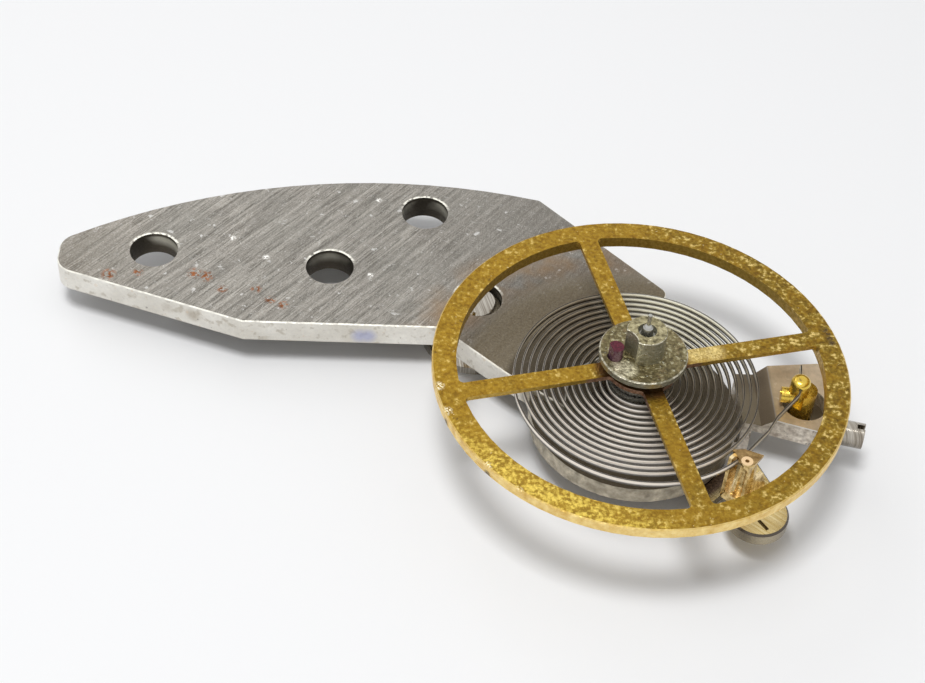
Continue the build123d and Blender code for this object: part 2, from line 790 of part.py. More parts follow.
# Regulator: ring, arm and thick oblong pad beyond the lobe, and a forked tail round the eccentric
boot_reach = spring_end_radius + boot_offset
boot_place = polar(boot_reach, boot_angle)
pad_base = regulator_ring_base + pad_lift
pad_top = pad_base + pad_thickness
with BuildPart() as regulator:
    with BuildSketch(Plane.XY.offset(pad_base)):
        with Locations((pad_near_reach, -pad_near_side)):
            Circle(pad_near_radius)
        with Locations((pad_reach, -pad_far_side)):
            Circle(pad_far_radius)
        make_hull()
    extrude(amount=pad_thickness)
    chamfer(regulator.faces().sort_by(Axis.Z)[-1].edges(), pad_bevel)
    with BuildSketch(Plane.XY.offset(regulator_ring_base + ring_thickness)):
        Circle(lobe_radius + pad_clear)
    extrude(amount=pad_top - regulator_ring_base - ring_thickness, mode=Mode.SUBTRACT)
    with BuildSketch(Plane.XY.offset(regulator_ring_base)):
        Circle(ring_outer_radius)
        with PolarLocations(0, 1, start_angle=regulator_arm_angle):
            Rectangle(regulator_arm_reach, regulator_arm_width, align=(Align.MIN, Align.CENTER))
        with PolarLocations(0, 1, start_angle=eccentric_angle):
            Rectangle(eccentric_arm.length + fork_reach, tail_width, align=(Align.MIN, Align.CENTER))
        Circle(ring_bore_radius, mode=Mode.SUBTRACT)
        with PolarLocations(eccentric_arm.length - eccentric_radius - fork_gap, 1, start_angle=eccentric_angle):
            Rectangle(
                (eccentric_radius + fork_gap + fork_reach) * 2,
                (eccentric_radius + fork_gap) * 2,
                align=(Align.MIN, Align.CENTER),
                mode=Mode.SUBTRACT,
            )
    extrude(amount=ring_thickness)
    with BuildSketch(Plane.XY.offset(pad_top)):
        with Locations(Location((pad_slit_reach, -pad_slit_side), pad_slit_angle)):
            Rectangle(pad_slit_length, pad_slit_width)
    extrude(amount=-pad_slit_depth, mode=Mode.SUBTRACT)
    with BuildSketch(Plane.XY.offset(regulator_ring_base)):
        with Locations(boot_place):
            Circle(boot_stem_radius + turning_gap)
    extrude(amount=pad_top - regulator_ring_base, mode=Mode.SUBTRACT)
regulator.part.label = "regulator"
export_step(regulator.part, "parts/regulator.step")

# Regulator boot: turns in the pad. From its foot rise a thin blade inside the outer turn and a fluted post
# outside it. A cover on the post reaches over the turn, so that it can't slip out between blade and post.
cover_base = spring_lift + spring_height + boot_cover_gap
cover_top = cover_base + boot_cover_thickness
blade_top = spring_lift + spring_height + boot_blade_stand
boot_base = pad_top + turning_gap
boot_foot_top = boot_base + boot_foot_height
boot_turned = Location(boot_place, boot_angle)
boot_crossed = Location(boot_place, boot_angle + 45)
with BuildPart() as regulator_boot:
    with BuildSketch(Plane.XY.offset(boot_base)):
        with Locations(boot_turned):
            with Locations((-boot_foot_inset, boot_foot_shift)):
                Rectangle(boot_foot_width, boot_foot_length)
    extrude(amount=boot_foot_height, taper=boot_foot_taper)
    with BuildSketch(Plane.XY.offset(boot_base)):
        with Locations(boot_crossed):
            Rectangle(boot_cross_width, boot_cross_width)
    extrude(amount=boot_foot_height, taper=boot_cross_taper, mode=Mode.INTERSECT)
    with BuildSketch(Plane.XY.offset(boot_base)):
        with Locations(boot_turned):
            with Locations((boot_tab_width / 2, boot_tab_place)):
                Rectangle(boot_tab_width, boot_tab_length)
    extrude(amount=boot_tab_height, taper=boot_tab_taper)
    with BuildSketch(Plane.XY.offset(boot_base)):
        with Locations(boot_turned):
            with Locations((-boot_blade_place, -boot_blade_shift)):
                Rectangle(boot_blade_thickness, boot_blade_length)
    extrude(amount=blade_top - boot_base)
    with BuildSketch(Plane.XY.offset(boot_base)):
        with Locations(boot_turned):
            with Locations((boot_post_offset, 0)):
                Rectangle(boot_post_width, boot_post_length)
    extrude(amount=cover_top - boot_base, taper=boot_post_taper)
    with BuildSketch(Plane.XY.offset(boot_foot_top)):
        with Locations(boot_turned):
            with Locations(
                (boot_post_offset + boot_post_width / 2, 0),
                (boot_post_offset, -boot_post_length / 2),
            ):
                Circle(boot_flute_radius)
    extrude(amount=boot_flute_height, mode=Mode.SUBTRACT)
    with BuildSketch(Plane.XY.offset(cover_base)):
        with Locations(boot_turned):
            Polygon(
                boot_cover_inner,
                boot_cover_front,
                boot_cover_outer,
                boot_cover_tip,
                boot_cover_back,
                align=None,
            )
    extrude(amount=boot_cover_thickness)
    with BuildSketch(Plane.XY.offset(cover_top)):
        with Locations(boot_turned):
            with Locations((boot_knob_offset, -boot_knob_shift)):
                Circle(boot_knob_radius)
                Circle(boot_knob_hole, mode=Mode.SUBTRACT)
    extrude(amount=boot_knob_rise)
    with BuildSketch(Plane.XY.offset(regulator_ring_base)):
        with Locations(boot_place):
            Circle(boot_stem_radius)
    extrude(amount=boot_base - regulator_ring_base)
regulator_boot.part.label = "regulator_boot"
export_step(regulator_boot.part, "parts/regulator_boot.step")
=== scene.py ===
# %% [markdown]
# # A watch's balance, lying with its movement side up
#
# A balance cock carries everything else: the wheel that swings, the hairspring that turns it back, the
# regulator and the stud holder. The solids come from CAD and keep their places. This file gives every
# surface its finish, winds the hairspring, and lights and frames the picture.

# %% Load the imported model
import math
import bpy
from mathutils import Matrix, Vector
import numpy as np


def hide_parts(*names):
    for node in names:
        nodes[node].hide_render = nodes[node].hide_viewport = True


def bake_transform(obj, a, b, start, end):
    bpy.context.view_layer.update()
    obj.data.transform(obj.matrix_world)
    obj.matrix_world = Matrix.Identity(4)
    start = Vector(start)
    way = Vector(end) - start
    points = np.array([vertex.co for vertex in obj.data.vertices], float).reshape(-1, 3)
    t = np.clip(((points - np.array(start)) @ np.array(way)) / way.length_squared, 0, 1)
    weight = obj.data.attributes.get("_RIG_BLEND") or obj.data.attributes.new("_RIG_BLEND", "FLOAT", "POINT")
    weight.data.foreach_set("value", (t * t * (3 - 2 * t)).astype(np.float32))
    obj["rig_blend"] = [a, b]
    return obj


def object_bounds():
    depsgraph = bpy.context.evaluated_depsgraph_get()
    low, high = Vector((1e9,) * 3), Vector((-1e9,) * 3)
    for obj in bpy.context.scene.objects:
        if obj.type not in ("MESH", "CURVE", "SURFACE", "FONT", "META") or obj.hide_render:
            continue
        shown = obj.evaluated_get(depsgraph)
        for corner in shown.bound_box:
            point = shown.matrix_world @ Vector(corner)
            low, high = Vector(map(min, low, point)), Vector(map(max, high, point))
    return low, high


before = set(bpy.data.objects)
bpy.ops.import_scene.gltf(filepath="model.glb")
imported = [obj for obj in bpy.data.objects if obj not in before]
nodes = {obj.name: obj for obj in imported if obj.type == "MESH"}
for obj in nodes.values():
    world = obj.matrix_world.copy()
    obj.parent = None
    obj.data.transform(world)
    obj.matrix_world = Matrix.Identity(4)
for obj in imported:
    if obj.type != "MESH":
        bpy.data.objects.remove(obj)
cad_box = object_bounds()
MM = 0.001

# %% [markdown]
# Every finish here is a small tree of shader nodes. A few helpers keep the trees short: each adds a node,
# feeds its sockets with numbers, colours or links, and hands back what comes out of it.

# %% Helpers: nodes and arithmetic
def feed(tree, socket, value):
    """Links a socket to another one, or gives it a value of its own."""
    if isinstance(value, bpy.types.NodeSocket):
        tree.links.new(value, socket)
    else:
        socket.default_value = value


def add(tree, kind, **sockets):
    """Adds a node; names of sockets use _ for a space."""
    node = tree.nodes.new(kind)
    for name, value in sockets.items():
        feed(tree, node.inputs[name.replace("_", " ")], value)
    return node


def operate(tree, kind, operation, values):
    """Adds a node for one step of arithmetic and hands back its outputs."""
    node = tree.nodes.new(kind)
    node.operation = operation
    for socket, value in zip(node.inputs, values):
        feed(tree, socket, value)
    return node.outputs


def math_node(tree, operation, first, second=0.0):
    """One step of arithmetic with numbers."""
    return operate(tree, "ShaderNodeMath", operation, (first, second))[0]


def vector_node(tree, operation, *values):
    """One step of arithmetic with places; its outputs are Vector and Value."""
    return operate(tree, "ShaderNodeVectorMath", operation, values)


def axes_of(tree, place):
    """The X, Y and Z of a place."""
    return add(tree, "ShaderNodeSeparateXYZ", Vector=place).outputs


print("arithmetic ready")

# %% [markdown]
# Masks say where a colour lies: 1 is all of it and 0 is none. A span turns any measure into a mask, and
# masks are multiplied to narrow them and joined by taking the highest. Sizes on this part are tenths of a
# millimetre, so the spans over lengths are given in millimetres.

# %% Helpers: masks
def span(tree, value, low, high, to_low=0.0, to_high=1.0):
    """Maps a value from one span to another and clamps it."""
    node = add(tree, "ShaderNodeMapRange", Value=value, From_Min=low, From_Max=high, To_Min=to_low,
               To_Max=to_high)
    return node.outputs["Result"]


def span_mm(tree, length, low, high, to_low=0.0, to_high=1.0):
    """A span over a length, between two ends given in millimetres."""
    return span(tree, length, low * MM, high * MM, to_low, to_high)


def times(tree, first, *others):
    """The product of masks and numbers."""
    for other in others:
        first = math_node(tree, "MULTIPLY", first, other)
    return first


def either(tree, masks):
    """The highest of several masks."""
    highest = masks[0]
    for mask in masks[1:]:
        highest = math_node(tree, "MAXIMUM", highest, mask)
    return highest


print("masks ready")

# %% [markdown]
# Colours are laid one over another, as dirt and wear are on the real metal. A list of layers, each with its
# mask, its strength and its colour, reads like a recipe and saves a line of nodes for each of them.

# %% Helpers: colours
def mix(tree, share, first, second):
    """Mixes two colours by a share."""
    node = tree.nodes.new("ShaderNodeMix")
    node.data_type = "RGBA"
    feed(tree, node.inputs[0], share)
    for index, colour in ((6, first), (7, second)):
        feed(tree, node.inputs[index], (*colour, 1) if isinstance(colour, tuple) else colour)
    return node.outputs[2]


def layers(tree, base, recipe):
    """Lays colours over a base, one after another, each by its mask and its strength."""
    for mask, strength, colour in recipe:
        base = mix(tree, mask if strength == 1 else times(tree, mask, strength), base, colour)
    return base


def ramp(tree, value, stops):
    """A colour ramp over a value, from pairs of place and colour."""
    node = tree.nodes.new("ShaderNodeValToRGB")
    tree.links.new(value, node.inputs["Fac"])
    elements = node.color_ramp.elements
    elements[0].position, elements[0].color = stops[0][0], (*stops[0][1], 1)
    elements[1].position, elements[1].color = stops[-1][0], (*stops[-1][1], 1)
    for place, colour in stops[1:-1]:
        elements.new(place).color = (*colour, 1)
    return node.outputs["Color"]


print("colours ready")

# %% [markdown]
# Every metal starts from the Principled shader. Its metallic share is a plain number, while the colour, the
# roughness and the relief change over the surface.

# %% Helpers: materials
def metal(name, roughness, metallic=1.0):
    """A material with a metal shader, its tree and its shader."""
    material = bpy.data.materials.new(name)
    material.use_nodes = True
    shader = material.node_tree.nodes["Principled BSDF"]
    shader.inputs["Roughness"].default_value = roughness
    shader.inputs["Metallic"].default_value = metallic
    return material, material.node_tree, shader


def place_on(tree):
    """The piece's own coordinates, in metres."""
    return add(tree, "ShaderNodeTexCoord").outputs["Object"]


def paint(tree, shader, colour, grain, smooth, rough):
    """Gives a shader its colour, and a roughness that follows a grain."""
    tree.links.new(colour, shader.inputs["Base Color"])
    tree.links.new(span(tree, grain, 0, 1, smooth, rough), shader.inputs["Roughness"])


def bump(tree, shader, height, distance, strength):
    """Gives a shader relief from a height; distance is in millimetres."""
    node = add(tree, "ShaderNodeBump", Height=height, Strength=strength, Distance=distance * MM)
    tree.links.new(node.outputs["Normal"], shader.inputs["Normal"])


print("materials ready")

# %% [markdown]
# Brushed metal shows fine parallel lines. Noise that is stretched along one direction gives them: each
# line is long one way and a few hundredths of a millimetre wide the other. Several pieces are brushed, each
# its own way, so the effect is one shader group with the direction and sizes as inputs. The sizes are in
# millimetres, and the group turns them into the scale that Blender's textures want.

# %% Shader group: brush lines
def group(name, inputs, outputs):
    """Starts a shader group with named number inputs, a Place vector and named outputs."""
    tree = bpy.data.node_groups.new(name, "ShaderNodeTree")
    tree.interface.new_socket("Place", in_out="INPUT", socket_type="NodeSocketVector")
    for label, value in inputs.items():
        socket = tree.interface.new_socket(label, in_out="INPUT", socket_type="NodeSocketFloat")
        socket.default_value = value
    for label in outputs:
        tree.interface.new_socket(label, in_out="OUTPUT", socket_type="NodeSocketFloat")
    return tree, tree.nodes.new("NodeGroupInput").outputs, tree.nodes.new("NodeGroupOutput").inputs


def noise(tree, place, scale, detail, roughness=0.5):
    """Cloudy noise over a place."""
    return add(tree, "ShaderNodeTexNoise", Vector=place, Scale=scale, Detail=detail,
               Roughness=roughness).outputs["Fac"]


brush_lines, given, result = group(
    "brush_lines", {"Direction": 0.6, "Line Width": 0.06, "Line Length": 2.0}, ["Lines", "Fine"]
)
turned = add(brush_lines, "ShaderNodeVectorRotate", Vector=given["Place"], Angle=given["Direction"])
turned.rotation_type = "Z_AXIS"
across = math_node(brush_lines, "DIVIDE", 1 / MM, given["Line Width"])
along = math_node(brush_lines, "DIVIDE", 1 / MM, given["Line Length"])
stretch = add(brush_lines, "ShaderNodeCombineXYZ", X=along, Y=across, Z=along).outputs["Vector"]
streaks = vector_node(brush_lines, "MULTIPLY", turned.outputs["Vector"], stretch)["Vector"]
coarse = noise(brush_lines, streaks, 1.0, 3.0)
fine = noise(brush_lines, streaks, 3.1, 2.0)
brush_lines.links.new(span(brush_lines, coarse, 0.30, 0.70), result["Lines"])
brush_lines.links.new(span(brush_lines, fine, 0.30, 0.70), result["Fine"])
print("group", brush_lines.name)

# %% [markdown]
# Grain and specks are the same everywhere too: fine noise for the grain, and sparse round or torn spots for
# dirt, rust or the painted glints of dents. The spots come from noise that only its peaks get through. A
# third output is a broad cloud, for tints that change slowly.

# %% Shader group: grain and specks
grain_specks, given, result = group(
    "grain_specks", {"Grain": 0.05, "Speck": 0.3, "Rarity": 0.62}, ["Grain", "Specks", "Cloud"]
)
grain_scale = math_node(grain_specks, "DIVIDE", 1 / MM, given["Grain"])
speck_scale = math_node(grain_specks, "DIVIDE", 1 / MM, given["Speck"])
cloud_scale = math_node(grain_specks, "MULTIPLY", speck_scale, 0.22)
grain = noise(grain_specks, given["Place"], grain_scale, 3.0)
speck = noise(grain_specks, given["Place"], speck_scale, 4.0, roughness=0.65)
cloud = noise(grain_specks, given["Place"], cloud_scale, 2.0)
peak = math_node(grain_specks, "SUBTRACT", speck, given["Rarity"])
grain_specks.links.new(span(grain_specks, grain, 0.28, 0.72), result["Grain"])
grain_specks.links.new(span(grain_specks, peak, 0.0, 0.05), result["Specks"])
grain_specks.links.new(span(grain_specks, cloud, 0.32, 0.68), result["Cloud"])
print("group", grain_specks.name)

# %% [markdown]
# A material places a shared group with its own sizes. Two short names for the groups keep each of those
# lines in one row: brushing, with its direction in degrees, and specks.

# %% Helpers: shared groups in a material
def use(tree, shared, place, **values):
    """Places a shared group in a material with its own values."""
    node = tree.nodes.new("ShaderNodeGroup")
    node.node_tree = shared
    tree.links.new(place, node.inputs["Place"])
    for name, value in values.items():
        node.inputs[name.replace("_", " ")].default_value = value
    return node.outputs


def brushing(tree, place, degrees, width, length):
    """Brush lines in a direction, with a width and a length in millimetres."""
    return use(tree, brush_lines, place, Direction=math.radians(degrees), Line_Width=width,
               Line_Length=length)


def specks(tree, place, size, speck_size, rarity):
    """Grain, specks and cloud, with sizes in millimetres."""
    return use(tree, grain_specks, place, Grain=size, Speck=speck_size, Rarity=rarity)


print("shared groups ready")

# %% [markdown]
# The next helpers tell walls, flat faces and slanting edges apart by the way they face, and measure how far
# a place lies from the balance axis. The last one puts a mark at chosen places, for stains and nicks that
# the photograph shows in one spot only: it measures the distance to each spot and keeps what lies within a
# radius.

# %% Helpers: where a surface faces, and marks at chosen places
def steepness(tree):
    """1 on level surfaces, 0 on upright ones."""
    normal = add(tree, "ShaderNodeNewGeometry").outputs["Normal"]
    return math_node(tree, "ABSOLUTE", axes_of(tree, normal)["Z"])


def flat_faces(tree):
    """Mask of flat faces."""
    return span(tree, steepness(tree), 0.60, 0.92)


def slanting_edges(tree):
    """Mask of slanting edges between a face and a wall."""
    steep = steepness(tree)
    return times(tree, span(tree, steep, 0.35, 0.60), span(tree, steep, 0.95, 0.80))


def from_axis(tree, place):
    """Distance from the balance axis, in metres."""
    axes = axes_of(tree, place)
    level_place = add(tree, "ShaderNodeCombineXYZ", X=axes["X"], Y=axes["Y"]).outputs["Vector"]
    return vector_node(tree, "LENGTH", level_place)["Value"]


def towards(tree, place, direction):
    """How far a place lies from the balance axis in one direction, in metres."""
    return vector_node(tree, "DOT_PRODUCT", place, direction)["Value"]


def marks_at(tree, place, spots, radius):
    """1 near any of the spots, given in mm, fading to 0 at the radius."""
    distances = [vector_node(tree, "DISTANCE", place, Vector(spot) * MM)["Value"] for spot in spots]
    return either(tree, [span_mm(tree, distance, radius, radius * 0.4) for distance in distances])


print("places ready")

# %% [markdown]
# The cock's plate is nickel-plated and brushed at a slant, dull grey on its face. Long fine lines carry the
# brushing, and two sparser sets at other angles give the handling scratches. A warm tint lies where the
# wheel's rim is mirrored, a painted reflection, and painted shade darkens the face under the wheel and more
# so under the spring.

# %% Plate: brushed face
def plate_face(tree, place, lines, brushed, dirt, pits):
    """Colour of the plate's face, before the marks that lie in one spot."""
    scratch = brushing(tree, place, -75, 0.035, 0.9)
    cross = brushing(tree, place, 20, 0.03, 0.7)
    away = from_axis(tree, place)
    mirrored = times(tree, span_mm(tree, away, 4.2, 4.9), span_mm(tree, away, 6.4, 5.5))
    painted_shade_under_wheel = span_mm(tree, away, 4.8, 4.2)
    painted_shade_under_spring = span_mm(tree, away, 3.30, 3.15)
    nickel = mix(tree, times(tree, lines["Lines"], brushed), (0.16, 0.145, 0.125), (0.45, 0.42, 0.375))
    return layers(tree, nickel, [
        (dirt["Grain"], 0.35, (0.15, 0.14, 0.12)),
        (times(tree, span(tree, lines["Fine"], 0.42, 0.20), brushed), 0.75, (0.09, 0.08, 0.065)),
        (span(tree, scratch["Fine"], 0.62, 0.95), 0.45, (0.62, 0.60, 0.55)),
        (span(tree, cross["Fine"], 0.75, 1.0), 0.55, (0.74, 0.74, 0.72)),
        (dirt["Specks"], 0.65, (0.78, 0.77, 0.75)),
        (pits["Specks"], 0.7, (0.10, 0.10, 0.095)),
        (dirt["Cloud"], 0.30, (0.22, 0.215, 0.19)),
        (times(tree, mirrored, pits["Cloud"]), 0.55, (0.30, 0.17, 0.06)),
        # painted shade under the wheel, and darker painted shade under the spring
        (painted_shade_under_wheel, 0.75, mix(tree, dirt["Grain"], (0.12, 0.09, 0.05), (0.22, 0.18, 0.11))),
        (painted_shade_under_spring, 0.85, (0.07, 0.055, 0.035)),
    ])


print("plate face ready")

# %% [markdown]
# Some marks are in one spot only. Crumbs of rust sit along the front edge, a few dents carry a painted glint,
# the left end is dirtier, and two painted reflections of the wheel's rim lie near the neck. Each hole shows a
# painted highlight on the far arc of its rim. The places are in millimetres from the balance axis.

# %% Plate: marks on the face
HOLES = [(-12.15, 4.87, 0), (-7.58, 4.45, 0), (-5.12, 6.66, 0), (-3.75, 3.45, 0)]
RUST_CRUSTS = [(-13.20, 3.92, 0), (-11.02, 4.06, 0), (-10.72, 3.97, 0)]
RUST_CRUMBS = [(-12.47, 4.03, 0), (-10.28, 3.51, 0), (-9.42, 3.55, 0), (-9.04, 3.17, 0), (-8.71, 3.01, 0)]
DENTS = [(-6.36, 7.12, 0), (-10.15, 5.43, 0), (-6.53, 4.20, 0), (-9.25, 4.75, 0)]
RIM_REFLECTIONS_AT_NECK = [(-4.1, 2.7, 0), (-2.4, 5.2, 0)]


def hole_masks(tree, place, pits):
    """Two masks: a painted highlight on the far arc of each hole's rim, and the walls inside the holes."""
    rim_highlights, bores = [], []
    broken_up = span(tree, pits["Grain"], 0.25, 0.5)
    for hole in HOLES:
        offset = vector_node(tree, "SUBTRACT", place, Vector(hole) * MM)["Vector"]
        far_side = span_mm(tree, axes_of(tree, offset)["Y"], 0.1, 0.4)
        away = from_axis(tree, offset)
        rim_highlights.append(times(tree, span_mm(tree, away, 0.70, 0.66), far_side, broken_up))
        bores.append(span_mm(tree, away, 0.72, 0.66))
    return either(tree, rim_highlights), either(tree, bores)


def plate_marks(tree, place, face, rim_highlights, dirt, pits, grit):
    """The plate's face with its marks."""
    left_end = span_mm(tree, axes_of(tree, place)["X"], -11.8, -14.0)
    rust = either(tree, [marks_at(tree, place, RUST_CRUSTS, 0.24), marks_at(tree, place, RUST_CRUMBS, 0.17)])
    rust = times(tree, rust, span(tree, pits["Grain"], 0.46, 0.56))
    dent_glints = times(tree, marks_at(tree, place, DENTS, 0.11), span(tree, dirt["Grain"], 0.40, 0.60))
    return layers(tree, face, [
        (times(tree, left_end, dirt["Grain"]), 0.45, (0.20, 0.165, 0.12)),
        (rust, 1, mix(tree, grit["Grain"], (0.05, 0.02, 0.01), (0.42, 0.15, 0.05))),
        # painted glints on the dents
        (dent_glints, 1, (0.92, 0.90, 0.86)),
        # painted highlight on the far arc of each hole's rim
        (rim_highlights, 1, (0.96, 0.94, 0.84)),
        # painted reflections of the wheel's rim near the neck
        (marks_at(tree, place, RIM_REFLECTIONS_AT_NECK, 0.5), 0.45, (0.24, 0.15, 0.08)),
    ])


print("marks for", len(HOLES), "holes")

# %% [markdown]
# The outer wall is cream with a few stains, a bluish mark and a dark lower edge, partly its bevel and partly
# painted shade. The lobe's wall, under the coils, is a mottled brown grey darkened by painted shade. The
# holes' walls carry painted shade, with a painted reflection as one light band.

# %% Plate: walls
WALL_STAINS = [(-11.71, 2.92, -0.3), (-10.95, 2.92, -0.3)]
BLUE_MARK = [(-6.73, 2.31, -0.4), (-6.55, 2.31, -0.4)]


def bore_shade_and_reflection(tree, height, dirt):
    """Colour of the walls inside the holes: painted shade, with a painted reflection in one band."""
    # a painted reflection in one light band of the bore wall
    band = times(tree, span(tree, dirt["Cloud"], 0.25, 0.75), span_mm(tree, height, -0.42, -0.22),
                 span_mm(tree, height, -0.06, -0.12))
    # painted shade darkens the rest of the bore wall
    dark = mix(tree, dirt["Cloud"], (0.05, 0.042, 0.03), (0.14, 0.12, 0.09))
    return layers(tree, dark, [(band, 0.85, (0.85, 0.82, 0.70))])


def plate_wall(tree, place, bores, dirt, pits, grit):
    """Colour of the plate's walls."""
    height = axes_of(tree, place)["Z"]
    lobe = span_mm(tree, from_axis(tree, place), 2.85, 2.65)
    # painted shade from the wheel darkens the lobe's mottled wall
    lobe_wall_in_painted_shade = mix(tree, grit["Grain"], (0.21, 0.185, 0.14), (0.66, 0.60, 0.48))
    lobe_wall_in_painted_shade = layers(tree, lobe_wall_in_painted_shade, [(dirt["Grain"], 0.5, (0.34, 0.29, 0.21))])
    return layers(tree, mix(tree, dirt["Cloud"], (0.90, 0.88, 0.82), (0.70, 0.67, 0.60)), [
        (pits["Grain"], 0.25, (0.52, 0.50, 0.47)),
        (span(tree, grit["Grain"], 0.66, 0.90), 0.5, (0.40, 0.35, 0.27)),
        (pits["Specks"], 0.7, (0.24, 0.20, 0.18)),
        (marks_at(tree, place, WALL_STAINS, 0.26), 0.55, (0.34, 0.28, 0.20)),
        (marks_at(tree, place, BLUE_MARK, 0.30), 0.6, (0.36, 0.40, 0.66)),
        # dark lower edge: partly its bevel, partly painted shade
        (span_mm(tree, height, -0.62, -0.72), 0.7, (0.22, 0.19, 0.14)),
        (dirt["Specks"], 0.35, (0.66, 0.50, 0.34)),
        (lobe, 1, lobe_wall_in_painted_shade),
        (bores, 1, bore_shade_and_reflection(tree, height, dirt)),
    ])


print("plate walls ready")

# %% [markdown]
# Face and walls meet at a burr that shines, less so round the lobe. The brushing and the grain are raised,
# and the pits are sunk.

# %% Finish: the cock's plate
def plate_finish():
    material, tree, shader = metal("plate_metal", 0.42, 0.75)
    place = place_on(tree)
    lines = brushing(tree, place, -50, 0.12, 2.4)
    dirt = specks(tree, place, 0.06, 0.30, 0.63)
    pits = specks(tree, place, 0.10, 0.16, 0.66)
    grit = specks(tree, place, 0.22, 0.5, 0.62)
    brushed = span_mm(tree, axes_of(tree, place)["X"], -2.0, -6.0, 0.35, 1.0)
    rim_highlights, bores = hole_masks(tree, place, pits)
    face = plate_face(tree, place, lines, brushed, dirt, pits)
    face = plate_marks(tree, place, face, rim_highlights, dirt, pits, grit)
    wall = plate_wall(tree, place, bores, dirt, pits, grit)
    off_lobe = span_mm(tree, from_axis(tree, place), 2.8, 3.0, 0.75, 1.0)
    burr = times(tree, slanting_edges(tree), off_lobe, span(tree, grit["Grain"], 0.25, 0.55, 0.35, 1.0))
    colour = mix(tree, burr, mix(tree, flat_faces(tree), wall, face), (0.90, 0.88, 0.80))
    paint(tree, shader, colour, dirt["Grain"], 0.34, 0.56)
    raised = math_node(tree, "ADD", times(tree, lines["Lines"], brushed), times(tree, dirt["Grain"], 0.8))
    bump(tree, shader, math_node(tree, "SUBTRACT", raised, pits["Specks"]), 0.010, 0.8)
    return material


plate_metal = plate_finish()
print("finish", plate_metal.name)

# %% [markdown]
# The stud holder is beige on the top of its block and dark on the ramp that leads down from it, with a cream
# and brown speckle on its walls and a painted white highlight along their upper edge.

# %% Finish: stud holder
def holder_finish():
    material, tree, shader = metal("holder_metal", 0.36, 0.6)
    place = place_on(tree)
    axes = axes_of(tree, place)
    dirt = specks(tree, place, 0.05, 0.20, 0.60)
    broad = specks(tree, place, 0.12, 0.45, 0.62)
    block_top = layers(tree, mix(tree, broad["Cloud"], (0.76, 0.60, 0.42), (0.44, 0.34, 0.21)), [
        (broad["Grain"], 0.35, (0.34, 0.27, 0.17)),
        (dirt["Specks"], 0.5, (0.80, 0.70, 0.52)),
    ])
    ring_top = mix(tree, broad["Cloud"], (0.13, 0.105, 0.07), (0.20, 0.165, 0.11))
    block = times(tree, span_mm(tree, axes["Z"], -0.05, 0.05), span_mm(tree, axes["X"], 3.3, 3.5))
    ramp_slope = times(tree, slanting_edges(tree), span_mm(tree, axes["X"], 3.5, 3.4))
    wall = layers(tree, mix(tree, broad["Grain"], (0.98, 0.92, 0.82), (0.44, 0.37, 0.30)), [
        (dirt["Specks"], 0.7, (0.12, 0.09, 0.07)),
        # painted highlight along the upper edge of the walls
        (span_mm(tree, axes["Z"], 0.055, 0.08), 1, (0.98, 0.98, 0.95)),
        (ramp_slope, 1, (0.14, 0.10, 0.06)),
    ])
    face = mix(tree, block, ring_top, block_top)
    paint(tree, shader, mix(tree, flat_faces(tree), wall, face), dirt["Grain"], 0.28, 0.50)
    bump(tree, shader, dirt["Grain"], 0.004, 0.6)
    return material


holder_metal = holder_finish()
print("finish", holder_metal.name)

# %% [markdown]
# The regulator is golden on its thick end, whose bevel is dark, and its arm is painted dark brown as shade.

# %% Finish: regulator
def index_finish():
    material, tree, shader = metal("index_metal", 0.24, 0.95)
    place = place_on(tree)
    lines = brushing(tree, place, 40, 0.04, 1.0)
    dirt = specks(tree, place, 0.05, 0.25, 0.62)
    arm_painted_shade = span_mm(tree, from_axis(tree, place), 3.1, 2.8)
    face = layers(tree, mix(tree, lines["Lines"], (0.56, 0.40, 0.13), (0.84, 0.70, 0.38)), [
        (dirt["Cloud"], 0.5, (0.30, 0.20, 0.08)),
        # painted shade darkens the arm
        (arm_painted_shade, 1, mix(tree, dirt["Grain"], (0.05, 0.032, 0.022), (0.13, 0.085, 0.055))),
    ])
    wall = mix(tree, dirt["Cloud"], (0.44, 0.38, 0.27), (0.26, 0.22, 0.16))
    metal_colour = mix(tree, flat_faces(tree), wall, face)
    colour = mix(tree, slanting_edges(tree), metal_colour, (0.10, 0.085, 0.07))
    paint(tree, shader, colour, dirt["Grain"], 0.16, 0.32)
    bump(tree, shader, lines["Fine"], 0.002, 0.5)
    return material


index_metal = index_finish()
print("finish", index_metal.name)

# %% [markdown]
# The wheel is a copper alloy, brassy gold with a grain whose sparkle is painted as bright specks. Tarnish
# lies on it in patches of about a millimetre, and towards the right and the lower right the rim turns darker,
# olive and brown. Two ramps over one mottle give the clean and the dull metal.

# %% Wheel: clean and tarnished metal
CLEAN_GOLD = [
    (0.0, (0.12, 0.056, 0.006)), (0.35, (0.27, 0.150, 0.013)), (0.7, (0.43, 0.262, 0.028)),
    (1.0, (0.92, 0.70, 0.24)),
]
DULL_OLIVE = [
    (0.0, (0.055, 0.030, 0.005)), (0.35, (0.155, 0.093, 0.012)), (0.7, (0.28, 0.185, 0.025)),
    (1.0, (0.80, 0.60, 0.22)),
]


